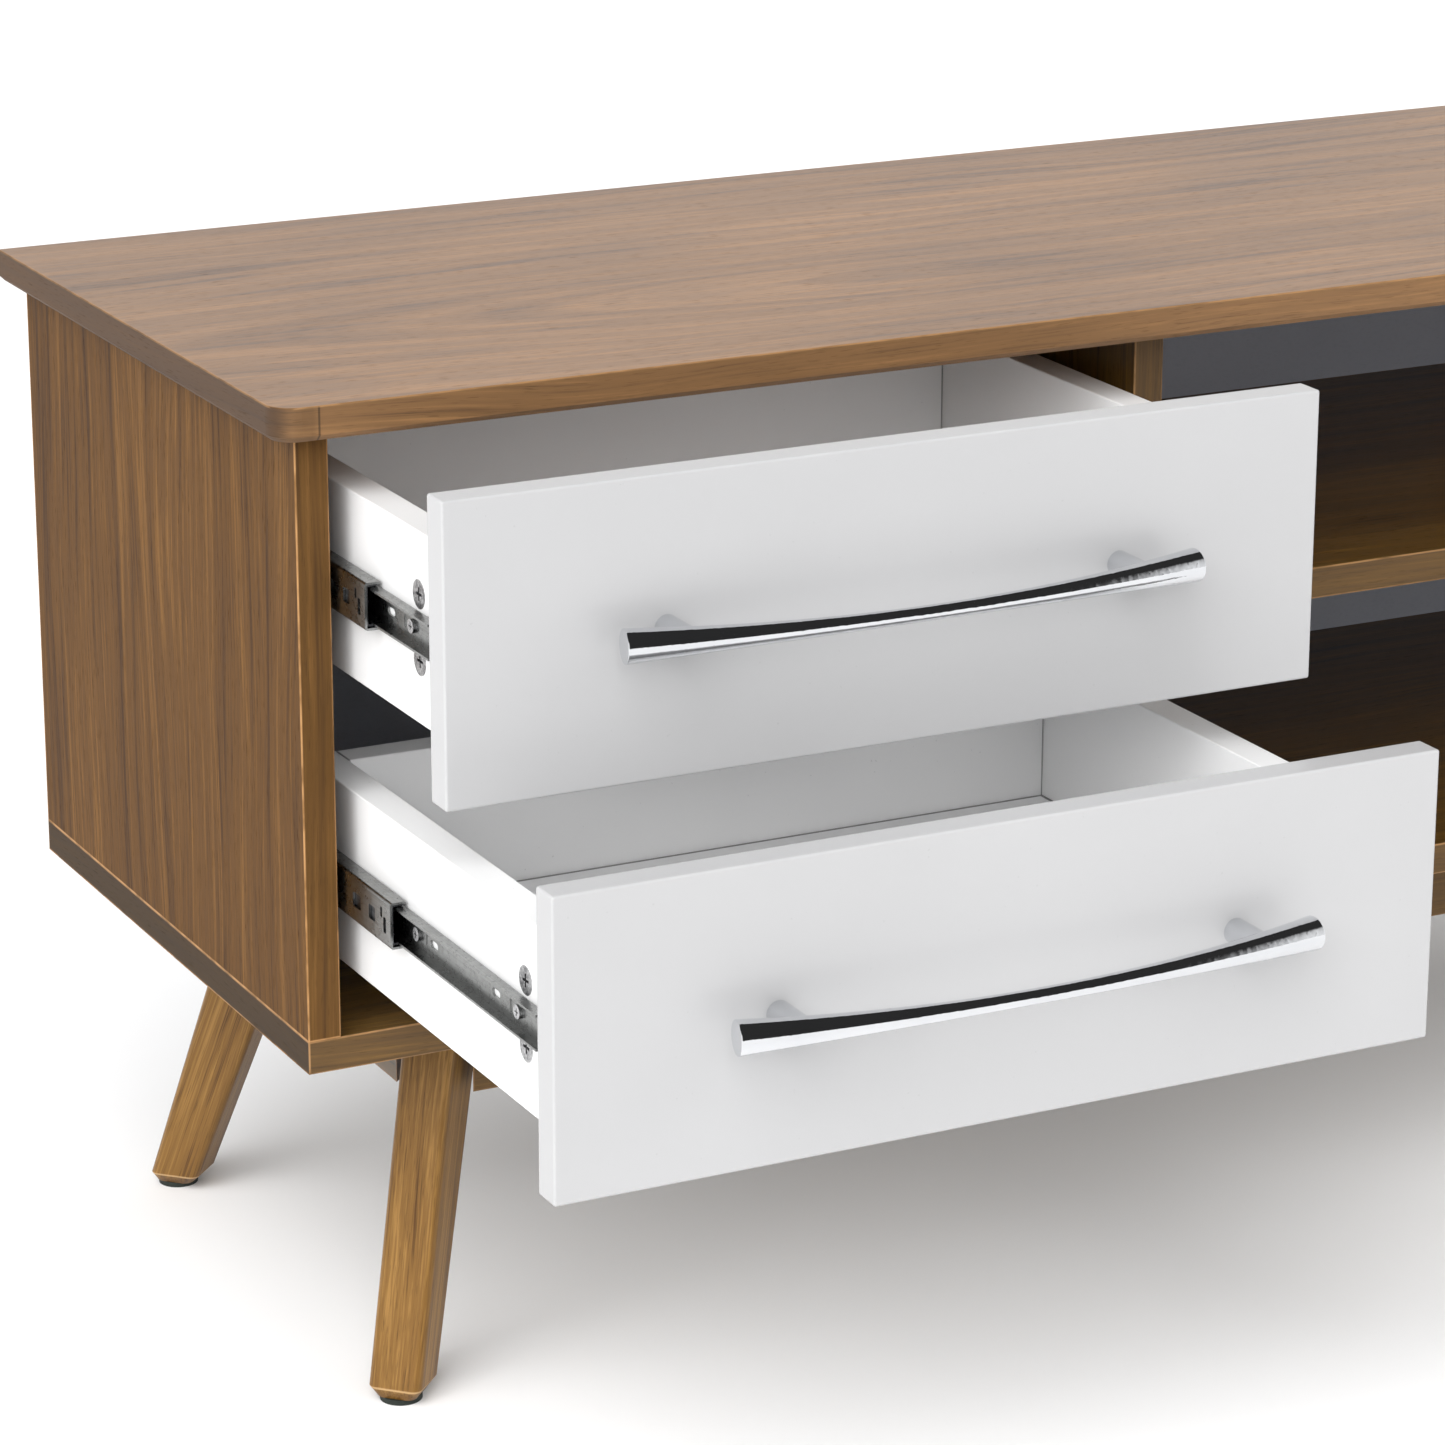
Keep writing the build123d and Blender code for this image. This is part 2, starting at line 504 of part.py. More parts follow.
for name, (front_bottom, _, _) in DRAWERS.items():
    face = drawer_face(name)
    inside_start = face + BOARD
    inside_end = inside_start + DRAWER_INSIDE_DEPTH
    wall_bottom = front_bottom + WALL_MARGIN
    wall_top = wall_bottom + WALL_HEIGHT
    groove = (wall_bottom + FLOOR_HEIGHT, wall_bottom + FLOOR_HEIGHT + FLOOR_THICKNESS)
    groove_y = (inside_start - GROOVE_DEPTH, inside_end + GROOVE_DEPTH)
    groove_x = (BOX_LEFT + BOARD - GROOVE_DEPTH, BOX_RIGHT - BOARD + GROOVE_DEPTH)

    with BuildPart() as drawer_front:
        block((FRONT_LEFT, FRONT_LEFT + FRONT_WIDTH), (face, inside_start),
              (front_bottom, front_bottom + FRONT_HEIGHT))
        fillet(drawer_front.edges(), FRONT_EDGE_RADIUS)
        block(groove_x, groove_y, groove, mode=Mode.SUBTRACT)
        drill(handle_screw_places(name), HANDLE_SCREW_RADIUS, BOARD)
    save(drawer_front, f"{name}_drawer_front")

    for side, (_, drawer_wall, inward) in SIDES.items():
        with BuildPart() as drawer_side:
            block(span(drawer_wall, drawer_wall + inward * BOARD),
                  (inside_start, inside_start + BOX_LENGTH), (wall_bottom, wall_top))
            fillet(drawer_side.faces().sort_by(Axis.Z)[-1].edges().filter_by(Axis.Y), WALL_ARRIS)
            block(groove_x, groove_y, groove, mode=Mode.SUBTRACT)
            drill(cam_places(name, side), CAM_RADIUS, CAM_DEPTH)
            drill(drawer_screw_places(name, side), SCREW_SHANK_RADIUS, SCREW_SHANK_LENGTH)
        save(drawer_side, f"{name}_drawer_{side}_wall")

    with BuildPart() as drawer_back:
        block((BOX_LEFT + BOARD, BOX_RIGHT - BOARD), (inside_end, inside_end + BOARD),
              (wall_bottom, wall_top))
        fillet(drawer_back.faces().sort_by(Axis.Z)[-1].edges().filter_by(Axis.X), WALL_ARRIS)
        block(groove_x, groove_y, groove, mode=Mode.SUBTRACT)
    save(drawer_back, f"{name}_drawer_back_wall")

    with BuildPart() as drawer_floor:
        block((groove_x[0] + GROOVE_END_GAP, groove_x[1] - GROOVE_END_GAP),
              (groove_y[0] + GROOVE_END_GAP, groove_y[1] - GROOVE_END_GAP), groove)
    save(drawer_floor, f"{name}_drawer_floor")

    with BuildPart() as cam_locks:
        for place in cam_places(name, "left") + cam_places(name, "right"):
            with BuildSketch(place):
                Circle(CAM_RADIUS)
            extrude(amount=CAM_DEPTH)
            with BuildSketch(place):
                Rectangle(CAM_CROSS_LENGTH, CAM_CROSS_WIDTH)
                Rectangle(CAM_CROSS_WIDTH, CAM_CROSS_LENGTH)
            extrude(amount=CAM_CROSS_DEPTH, mode=Mode.SUBTRACT)
    save(cam_locks, f"{name}_cam_locks")

    with BuildPart() as handle:
        for i in range(HANDLE_SECTIONS):
            plane, radius = handle_plane(name, 2 * i / (HANDLE_SECTIONS - 1) - 1)
            with BuildSketch(plane):
                Circle(radius)
        loft()
        fillet(handle.faces().filter_by(GeomType.PLANE).edges(), HANDLE_END_ARRIS)
        post_plane, _ = handle_plane(name, HANDLE_POST_SPACING / HANDLE_LENGTH)
        post_base = Plane(origin=(FRONT_MIDDLE, face, runner_height(name)), x_dir=(1, 0, 0), z_dir=(0, -1, 0))
        with BuildSketch(post_base):
            with GridLocations(HANDLE_POST_SPACING, 0, 2, 1):
                Circle(HANDLE_POST_RADIUS)
        extrude(amount=face - post_plane.origin.Y)
        drill(handle_screw_places(name), HANDLE_SCREW_RADIUS, BOARD + HANDLE_SCREW_BITE)
    save(handle, f"{name}_handle")

    save(screws(handle_screw_places(name), HANDLE_SCREW_HEAD, HANDLE_SCREW_RADIUS, BOARD + HANDLE_SCREW_BITE),
         f"{name}_handle_screws")
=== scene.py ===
import math

import bpy
from mathutils import Matrix, Vector


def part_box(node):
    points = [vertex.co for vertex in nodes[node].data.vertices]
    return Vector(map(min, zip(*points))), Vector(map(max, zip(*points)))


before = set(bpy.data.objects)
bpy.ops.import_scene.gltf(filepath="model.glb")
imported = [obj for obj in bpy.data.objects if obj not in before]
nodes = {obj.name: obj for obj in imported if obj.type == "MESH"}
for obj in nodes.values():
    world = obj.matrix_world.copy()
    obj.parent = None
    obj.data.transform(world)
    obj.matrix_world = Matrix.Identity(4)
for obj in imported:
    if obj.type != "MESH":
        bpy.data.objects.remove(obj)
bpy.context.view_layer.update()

# ------------------------------------------------------------------ camera
# Where the camera stands, in metres, the way it looks, in degrees, and its lens, in millimetres.
CAMERA_PLACE = (-1.4754, -2.2803, 1.1594)
CAMERA_HEADING = -26.851
CAMERA_TILT = -17.685
CAMERA_ROLL = 0.104
CAMERA_LENS = 124.68
CAMERA_SENSOR = 36.0


def make_camera():
    """A long lens, looking down a little at the cabinet's open drawers from its left."""
    heading, tilt, roll = (math.radians(a) for a in (CAMERA_HEADING, CAMERA_TILT, CAMERA_ROLL))
    forward_x = -math.sin(heading) * math.cos(tilt)
    forward_y = math.cos(heading) * math.cos(tilt)
    forward = Vector((forward_x, forward_y, math.sin(tilt)))
    level = Vector((math.cos(heading), math.sin(heading), 0))
    above = level.cross(forward)
    right = math.cos(roll) * level + math.sin(roll) * above
    up = -math.sin(roll) * level + math.cos(roll) * above
    data = bpy.data.cameras.new("camera")
    data.lens, data.sensor_width = CAMERA_LENS, CAMERA_SENSOR
    camera = bpy.data.objects.new("camera", data)
    bpy.context.scene.collection.objects.link(camera)
    turn = Matrix((right, up, -forward)).transposed().to_4x4()
    camera.matrix_world = Matrix.Translation(CAMERA_PLACE) @ turn
    bpy.context.scene.camera = camera


make_camera()


# ------------------------------------------------------------------ colours and shader helpers
def tone(red, green, blue):
    """A linear colour from display values of 0 to 255."""
    def linear(value):
        value = value / 255
        return value / 12.92 if value <= 0.04045 else ((value + 0.055) / 1.055) ** 2.4
    return linear(red), linear(green), linear(blue), 1.0


class Shader:
    """One material, with short calls that add its nodes. All places and sizes are in metres."""

    def __init__(self, name):
        self.material = bpy.data.materials.new(name)
        self.material.use_nodes = True
        self.tree = self.material.node_tree
        self.tree.nodes.clear()
        self.surface = self.add("ShaderNodeBsdfPrincipled")
        output = self.add("ShaderNodeOutputMaterial")
        self.tree.links.new(self.surface.outputs["BSDF"], output.inputs["Surface"])
        self.place = self.add("ShaderNodeTexCoord")
        self.spot = self.place.outputs["Object"]

    def add(self, kind, **settings):
        node = self.tree.nodes.new(kind)
        for key, value in settings.items():
            setattr(node, key, value)
        return node

    def put(self, socket, value):
        if isinstance(value, bpy.types.NodeSocket):
            self.tree.links.new(value, socket)
        else:
            socket.default_value = value

    def math(self, operation, first, second=0.0):
        node = self.add("ShaderNodeMath", operation=operation)
        for socket, value in zip(node.inputs, (first, second)):
            self.put(socket, value)
        return node.outputs[0]

    def plus(self, first, second):
        return self.math("ADD", first, second)

    def minus(self, first, second):
        return self.math("SUBTRACT", first, second)

    def times(self, first, second):
        return self.math("MULTIPLY", first, second)

    def size(self, value):
        return self.math("ABSOLUTE", value)

    def axes(self, name="Object"):
        node = self.add("ShaderNodeSeparateXYZ")
        self.put(node.inputs[0], self.place.outputs[name])
        return node.outputs[0], node.outputs[1], node.outputs[2]

    def point(self, x, y, z):
        node = self.add("ShaderNodeCombineXYZ")
        for socket, value in zip(node.inputs, (x, y, z)):
            self.put(socket, value)
        return node.outputs[0]

    def noise(self, point, scale=1.0, detail=2.0, rough=0.5):
        node = self.add("ShaderNodeTexNoise", noise_dimensions="3D")
        self.put(node.inputs["Vector"], point)
        for key, value in (("Scale", scale), ("Detail", detail), ("Roughness", rough)):
            self.put(node.inputs[key], value)
        return node.outputs["Fac"]

    def stretched(self, directions, pace, detail=2.0, rough=0.5):
        """Noise that changes at its own pace, in each metre, along each of three directions."""
        point = self.point(*(self.times(way, quick) for way, quick in zip(directions, pace)))
        return self.noise(point, detail=detail, rough=rough)

    def drawn_out(self, directions, pace, seed=0.0, detail=2.0, rough=0.5):
        """Noise drawn out along fibres: pace is how much it changes in a metre along and across them."""
        along, across, through = directions
        slow, quick = pace
        depth = self.plus(self.times(through, quick), seed)
        point = self.point(self.times(along, slow), self.times(across, quick), depth)
        return self.noise(point, detail=detail, rough=rough)

    def step(self, value, low, high, to_low=0.0, to_high=1.0):
        """Smoothly from to_low where value is low, to to_high where it is high."""
        node = self.add("ShaderNodeMapRange", interpolation_type="SMOOTHSTEP")
        for socket, part in zip(node.inputs, (value, low, high, to_low, to_high)):
            self.put(socket, part)
        return node.outputs[0]

    def mix(self, share, first, second):
        """A colour from first to second."""
        node = self.add("ShaderNodeMix", data_type="RGBA", clamp_factor=True)
        self.put(node.inputs[0], share)
        self.put(node.inputs[6], first)
        self.put(node.inputs[7], second)
        return node.outputs[2]

    def between(self, share, first, second):
        """A number from first to second."""
        node = self.add("ShaderNodeMix", data_type="FLOAT", clamp_factor=True)
        self.put(node.inputs[0], share)
        self.put(node.inputs[2], first)
        self.put(node.inputs[3], second)
        return node.outputs[0]

    def total(self, values, shares):
        """The sum of values, each times its share."""
        parts = [self.times(value, share) for value, share in zip(values, shares)]
        result = parts[0]
        for part in parts[1:]:
            result = self.plus(result, part)
        return result

    def ramp(self, value, stops):
        node = self.add("ShaderNodeValToRGB")
        node.color_ramp.interpolation = "EASE"
        elements = node.color_ramp.elements
        while len(elements) < len(stops):
            elements.new(0.5)
        for element, (position, colour) in zip(elements, stops):
            element.position, element.color = position, colour
        self.put(node.inputs[0], value)
        return node.outputs[0]

    def bump(self, height, strength, distance, before=None):
        node = self.add("ShaderNodeBump")
        self.put(node.inputs["Strength"], strength)
        self.put(node.inputs["Distance"], distance)
        self.put(node.inputs["Height"], height)
        if before is not None:
            self.put(node.inputs["Normal"], before)
        return node.outputs["Normal"]

    def finish(self, **sockets):
        """Set the surface's sockets: underscores stand for spaces."""
        for key, value in sockets.items():
            self.put(self.surface.inputs[key.replace("_", " ")], value)
        return self.material


def edge_gap(shader, node):
    """Minus the distance to the nearest edge of a node's box, on its surface."""
    low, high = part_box(node)
    gaps = []
    for value, start, end in zip(shader.axes(), low, high):
        offset = shader.size(shader.minus(value, (start + end) / 2))
        gaps.append(shader.minus(offset, (end - start) / 2))
    largest = shader.math("MAXIMUM", gaps[0], gaps[1])
    smallest = shader.math("MINIMUM", gaps[0], gaps[1])
    return shader.math("MAXIMUM", smallest, shader.math("MINIMUM", largest, gaps[2]))


def dress(node, material):
    """Give a CAD node its material."""
    slots = nodes[node].material_slots
    if not slots:
        nodes[node].data.materials.append(material)
    for slot in nodes[node].material_slots:
        slot.material = material


# ------------------------------------------------------------------ wood
def wood(deep, mid, pale, pore):
    """A wood's four tones."""
    return dict(deep=tone(*deep), mid=tone(*mid), pale=tone(*pale), pore=tone(*pore))


# Lit and shaded copies of one walnut: painted light in the top's copy, painted shade in the darker copies
# for the side panels and for the bottom, divider, shelf and rails.
WALNUT_TOP_PAINTED_LIGHT = wood((84, 55, 27), (125, 88, 49), (154, 111, 66), (54, 34, 18))
WALNUT_PAINTED_SHADE = wood((52, 34, 9), (85, 60, 19), (113, 83, 33), (34, 21, 6))
WALNUT_SIDE_PAINTED_SHADE = wood((60, 36, 10), (91, 60, 21), (118, 82, 37), (36, 21, 7))
GOLDEN = wood((78, 49, 16), (118, 84, 36), (144, 107, 54), (55, 34, 11))
TAPE_MIDDLE = tone(110, 86, 60)         # the edge tape, which tints the boards' narrow faces
ARRIS_PAINTED_HIGHLIGHT = tone(192, 146, 98)        # painted highlight, pale along an arris
FOOT_PAINTED_HIGHLIGHT = tone(214, 176, 124)         # painted highlight: the bevel's pale upper line at each foot
TONE_STOPS = (0.36, 0.50, 0.62)         # where a wood's deep, middle and pale tones stand in its pattern

# How much each pattern changes in a metre, along the fibres and across them.
BOARD_DRIFT, BOARD_FIBRES, BOARD_PORES, BOARD_CLOUD = (1.6, 7.0), (13.0, 520.0), (95.0, 1500.0), (3.2, 11.0)
LEG_DRIFT, LEG_FIBRES, LEG_PORES, LEG_CLOUD = (3.0, 16.0), (16.0, 650.0), (60.0, 1500.0), (9.0, 40.0)
LEG_RINGS = (1.5, 150.0, 110.0)
BOARD_SHARES = (0.42, 0.38, 0.20)       # of rings, fibres and cloud in the pattern
LEG_SHARES = (0.38, 0.42, 0.20)
RING_PACE = 1.1                         # how much a board's rings change in a metre of length
DRIFT_REACH = 0.085                     # how far the fibres of a board wander sideways
LEG_DRIFT_REACH = (0.012, 0.010)
CLOUD_SEED = 4.0

FIBRE_BUMP = (0.10, 0.0002)             # strength, and height in metres
SURFACE_BUMP = (0.04, 0.0006)
LEG_BUMP = (0.14, 0.0002)
ARRIS_HIGHLIGHT_STRIP = (-0.0011, -0.0004)          # the strip of painted highlight beside an arris, by its edge gap
EDGE_OFFSET = 0.35                      # sets the pattern of an edge apart from its face's
EDGE_TINT = 0.55
# painted shade: how far a board's end faces are darkened towards the pore tone
END_FACE_PAINTED_SHADE = 0.75
EDGE_DULL = 0.35


def wood_colour(shader, values, shares, look):
    """A wood's tones, over a pattern of rings, fibres and cloud."""
    stops = [(stop, look[name]) for stop, name in zip(TONE_STOPS, ("deep", "mid", "pale"))]
    return shader.ramp(shader.total(values, shares), stops)


def grain(shader, directions, look, seed, figure):
    """A board's colour, fibres and pores, for directions along, across and through its fibres.

    The figure is the middle of its loops, along and across, their slimness, and their rings in each metre.
    """
    along, across, through = directions
    middle_along, middle_across, slimness, rings = figure
    drift = shader.minus(shader.drawn_out(directions, BOARD_DRIFT, seed, rough=0.45), 0.5)
    side = shader.plus(shader.minus(across, middle_across), shader.times(drift, DRIFT_REACH))
    length = shader.times(shader.minus(along, middle_along), slimness)
    reach = shader.math("SQRT", shader.plus(shader.times(side, side), shader.times(length, length)))
    ring_point = shader.point(shader.times(reach, rings), shader.times(along, RING_PACE), seed)
    ring = shader.noise(ring_point, detail=3.0, rough=0.55)
    bent = (along, side, through)
    fibres = shader.drawn_out(bent, BOARD_FIBRES, seed, detail=2.5, rough=0.6)
    pores = shader.drawn_out(bent, BOARD_PORES, seed, detail=1.0)
    cloud = shader.drawn_out(directions, BOARD_CLOUD, seed + CLOUD_SEED)
    colour = wood_colour(shader, (ring, fibres, cloud), BOARD_SHARES, look)
    colour = shader.mix(shader.step(ring, 0.56, 0.66, 0.0, 0.16), colour, look["deep"])
    fleck = shader.step(pores, 0.60, 0.74)
    colour = shader.mix(shader.times(fleck, 0.38), colour, look["pore"])
    return colour, fibres, fleck


def board_directions(shader, fibres):
    """Where the fibres run on a board's faces and on its taped edges, and how far a spot is on an edge."""
    x, y, z = shader.axes()
    _, normal_y, normal_z = (shader.size(part) for part in shader.axes("Normal"))
    if fibres == "x":
        edge = shader.step(normal_z, 0.85, 0.75)
        along = shader.between(edge, x, shader.minus(x, y))
        across = shader.between(edge, y, shader.plus(z, EDGE_OFFSET))
        return (along, across, shader.between(edge, z, 0.0)), edge
    edge = shader.step(normal_y, 0.75, 0.85)
    across = shader.between(edge, y, shader.plus(x, EDGE_OFFSET))
    return (z, across, shader.between(edge, x, 0.0)), edge


def board(node, fibres, look=WALNUT_PAINTED_SHADE, figure=(0.0, 0.0, 0.07, 190.0), seed=0.0, shine=0.36,
          arris_highlight=0.5, index=1.5, shade=None):
    """Veneered board, lacquered satin, with fibres along "x" or "z" and a tape along its edges."""
    shader = Shader(node + "_wood")
    directions, edge = board_directions(shader, fibres)
    colour, fibre, fleck = grain(shader, directions, look, seed, figure)
    taped = shader.mix(EDGE_TINT, colour, TAPE_MIDDLE)
    colour = shader.mix(shader.times(edge, EDGE_TINT), colour, taped)
    # Painted shade: the end faces, across the fibres, darker towards the pore tone.
    if fibres == "x":
        normal_x = shader.size(shader.axes("Normal")[0])
        colour = shader.mix(shader.step(normal_x, 0.3, 0.9, 0.0, END_FACE_PAINTED_SHADE), colour, look["pore"])
    if shade is not None:
        colour = shade(shader, colour, edge)
    patchy = shader.step(shader.noise(shader.spot, scale=70.0), 0.30, 0.62, 0.35, 1.0)
    # Painted highlight along the arrises, broken up in patches.
    painted_edge_light = shader.times(shader.step(edge_gap(shader, node), *ARRIS_HIGHLIGHT_STRIP), patchy)
    colour = shader.mix(shader.times(painted_edge_light, arris_highlight), colour, ARRIS_PAINTED_HIGHLIGHT)
    gloss = shader.plus(shader.total((fibre, fleck, edge), (0.10, 0.14, EDGE_DULL)), shine)
    normal = shader.bump(shader.minus(shader.times(fibre, 0.5), fleck), *FIBRE_BUMP)
    normal = shader.bump(shader.noise(shader.spot, scale=160.0, detail=1.0), *SURFACE_BUMP, normal)
    return shader.finish(Base_Color=colour, Roughness=gloss, Normal=normal, IOR=index)


LIPPING_JOINT = 0.577                   # from the cabinet's middle to where the edge band meets a corner
JOINT_START = (LIPPING_JOINT - 0.0007, LIPPING_JOINT)
JOINT_END = (LIPPING_JOINT + 0.0011, LIPPING_JOINT + 0.0004)
CORNER_START = (LIPPING_JOINT, LIPPING_JOINT + 0.004)


def lipping(shader, colour, edge):
    """The edge band's joints: a dark line beside each rounded corner, and a deeper tone on the corner."""
    reach = shader.size(shader.axes()[0])
    line = shader.times(shader.step(reach, *JOINT_START), shader.step(reach, *JOINT_END))
    corner = shader.step(reach, *CORNER_START)
    colour = shader.mix(shader.times(shader.times(corner, edge), 0.25), colour, WALNUT_PAINTED_SHADE["deep"])
    return shader.mix(shader.times(shader.times(line, edge), 0.7), colour, WALNUT_PAINTED_SHADE["pore"])


RAIL_FIGURE = (0.1, 0.4, 0.05, 140.0)
SIDE = dict(fibres="z", look=WALNUT_SIDE_PAINTED_SHADE, index=1.2, shine=0.5, arris_highlight=0.8)
RAIL = dict(fibres="x", figure=RAIL_FIGURE, arris_highlight=0.3)
BOARDS = {
    "top_board": dict(fibres="x", look=WALNUT_TOP_PAINTED_LIGHT, index=1.60, shine=0.30, seed=1.7, arris_highlight=0.35,
                      figure=(-0.03, 0.075, 0.11, 120.0), shade=lipping),
    "bottom_board": dict(fibres="x", figure=(0.2, -0.6, 0.05, 150.0), seed=5.1, arris_highlight=0.55),
    "left_side_panel": dict(SIDE, figure=(0.30, 0.18, 0.07, 150.0), seed=9.3),
    "right_side_panel": dict(SIDE, figure=(0.42, 0.05, 0.07, 150.0), seed=13.9),
    "divider_panel": dict(fibres="z", figure=(0.30, 0.15, 0.07, 150.0), seed=17.2),
    "shelf_board": dict(fibres="x", figure=(0.3, 0.1, 0.08, 130.0), seed=21.4),
    "front_rail": dict(RAIL, seed=25.0),
    "back_rail": dict(RAIL, seed=28.0),
}
for node, choices in BOARDS.items():
    dress(node, board(node, **choices))


def side_rail(node, seed):
    """A rail whose fibres run from front to back."""
    shader = Shader(node + "_wood")
    x, y, z = shader.axes()
    colour, fibre, fleck = grain(shader, (y, z, x), WALNUT_PAINTED_SHADE, seed, RAIL_FIGURE)
    # Painted highlight along the arrises.
    painted_edge_light = shader.step(edge_gap(shader, node), *ARRIS_HIGHLIGHT_STRIP)
    colour = shader.mix(shader.times(painted_edge_light, 0.3), colour, ARRIS_PAINTED_HIGHLIGHT)
    normal = shader.bump(shader.minus(shader.times(fibre, 0.5), fleck), *FIBRE_BUMP)
    gloss = shader.plus(0.40, shader.times(fibre, 0.12))
    return shader.finish(Base_Color=colour, Roughness=gloss, Normal=normal, IOR=1.5,
                         Coat_Weight=0.3, Coat_Roughness=0.25, Coat_IOR=1.5)


dress("left_rail", side_rail("left_rail", 31.0))
dress("right_rail", side_rail("right_rail", 34.0))

# ------------------------------------------------------------------ legs
LEG_LEAN = 52.0 / 204.0                 # sideways travel of a leg for each metre of height
CABINET_MIDDLE_Y = (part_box("bottom_board")[0].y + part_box("bottom_board")[1].y) / 2
FOOT_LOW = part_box("front_left_leg")[0].z
FOOT_HIGHLIGHT_TOP = (FOOT_LOW + 0.0066, FOOT_LOW + 0.0058)
FOOT_HIGHLIGHT_BOTTOM = (FOOT_LOW + 0.0046, FOOT_LOW + 0.0054)
FOOT_BEVEL_PAINTED_SHADE = (FOOT_LOW + 0.0052, FOOT_LOW + 0.001)
LEG_SEEDS = (1.9, 5.3)                  # set the four legs' patterns apart, by side and by front or back


def leg_wood():
    """Solid wood, its fibres along each leaning leg, with dark pores, a painted highlight along the foot's
    bevel and painted shade on the bevel below it.
    """
    shader = Shader("leg_wood")
    x, y, z = shader.axes()
    from_middle = shader.minus(y, CABINET_MIDDLE_Y)
    upright_x = shader.plus(shader.size(x), shader.times(z, LEG_LEAN))
    upright_y = shader.plus(shader.size(from_middle), shader.times(z, LEG_LEAN))
    which = shader.total((shader.math("SIGN", x), shader.math("SIGN", from_middle)), LEG_SEEDS)
    along = shader.plus(z, which)
    straight = (along, shader.minus(upright_x, upright_y), shader.plus(upright_x, upright_y))
    drift = shader.minus(shader.drawn_out(straight, LEG_DRIFT), 0.5)
    side, depth = (shader.plus(way, shader.times(drift, reach))
                   for way, reach in zip(straight[1:], LEG_DRIFT_REACH))
    bent = (along, side, depth)
    ring = shader.stretched(bent, LEG_RINGS, detail=3.0, rough=0.6)
    fibre = shader.drawn_out(bent, LEG_FIBRES, rough=0.6)
    pores = shader.drawn_out(bent, LEG_PORES, detail=1.0)
    cloud = shader.drawn_out(bent, LEG_CLOUD)
    colour = wood_colour(shader, (ring, fibre, cloud), LEG_SHARES, GOLDEN)
    fleck = shader.step(pores, 0.60, 0.72)
    colour = shader.mix(shader.times(fleck, 0.42), colour, GOLDEN["pore"])
    # Painted highlight along the top of the foot's bevel.
    line = shader.times(shader.step(z, *FOOT_HIGHLIGHT_TOP), shader.step(z, *FOOT_HIGHLIGHT_BOTTOM))
    colour = shader.mix(shader.times(line, 0.6), colour, FOOT_PAINTED_HIGHLIGHT)
    # Painted shade: the foot's bevel darker towards the floor.
    colour = shader.mix(shader.step(z, *FOOT_BEVEL_PAINTED_SHADE, 0.0, 0.45), colour, GOLDEN["deep"])
    normal = shader.bump(shader.minus(shader.times(fibre, 0.6), fleck), *LEG_BUMP)
    gloss = shader.plus(0.36, shader.total((fibre, fleck), (0.14, 0.12)))
    return shader.finish(Base_Color=colour, Roughness=gloss, Normal=normal, IOR=1.38,
                         Coat_Weight=0.15, Coat_Roughness=0.24, Coat_IOR=1.4)


golden = leg_wood()
for corner in ("front_left", "front_right", "rear_left", "rear_right"):
    dress(corner + "_leg", golden)


# ------------------------------------------------------------------ white lacquer
WALL_WHITE = (242, 242, 242)
# The fronts' copy of the walls' white lacquer, painted darker: painted shade for the lesser light on the
# fronts.
FRONT_WHITE_PAINTED_SHADE = (184, 184, 185)
WHITE_SPREAD = (-4, 3)                  # how far the white wanders, in display values
SPECK_GREY = tone(150, 150, 150)
EDGE_PAINTED_GREY = tone(196, 196, 194)
JOINT_SHADE = tone(88, 86, 84)
JOINT_INSET = (0.0010, 0.0005)          # the joint line's edge, in from the board's end
LACQUER_EDGE_PAINTED_STRIP = (-0.0013, -0.0005)


def lacquer(node, joint=None, white=WALL_WHITE):
    """Sprayed white lacquer with a faint orange peel; joint is an axis whose ends meet other boards."""
    shader = Shader(node + "_lacquer")
    cloud = shader.noise(shader.spot, scale=9.0)
    darker, lighter = (tone(*(value + spread for value in white)) for spread in WHITE_SPREAD)
    colour = shader.mix(cloud, darker, lighter)
    specks = shader.step(shader.noise(shader.spot, scale=420.0, detail=1.0), 0.78, 0.82)
    colour = shader.mix(shader.times(specks, 0.25), colour, SPECK_GREY)
    # Painted light and shade on the rounded edges: a grey strip along the box edges, lighter than the
    # fronts' white and darker than the walls'.
    painted_edge_light = shader.step(edge_gap(shader, node), *LACQUER_EDGE_PAINTED_STRIP)
    patchy = shader.step(shader.noise(shader.spot, scale=60.0), 0.42, 0.64)
    colour = shader.mix(shader.times(shader.times(painted_edge_light, patchy), 0.22), colour, EDGE_PAINTED_GREY)
    if joint is not None:
        low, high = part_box(node)
        axis = "xyz".index(joint)
        offset = shader.size(shader.minus(shader.axes()[axis], (low[axis] + high[axis]) / 2))
        half = (high[axis] - low[axis]) / 2
        line = shader.step(offset, *(half - inset for inset in JOINT_INSET))
        colour = shader.mix(shader.times(line, 0.75), colour, JOINT_SHADE)
    peel = shader.noise(shader.spot, scale=650.0, detail=1.0)
    normal = shader.bump(peel, 0.03, 0.0002)
    normal = shader.bump(shader.noise(shader.spot, scale=45.0, detail=1.0), 0.02, 0.001, normal)
    gloss = shader.plus(0.30, shader.total((cloud, peel), (0.06, 0.05)))
    return shader.finish(Base_Color=colour, Roughness=gloss, Normal=normal, IOR=1.5,
                         Coat_Weight=0.25, Coat_Roughness=0.15, Coat_IOR=1.5)


FLOOR_JOINT = (-0.0078, -0.0072)        # where the floor enters the walls' grooves, by its edge gap


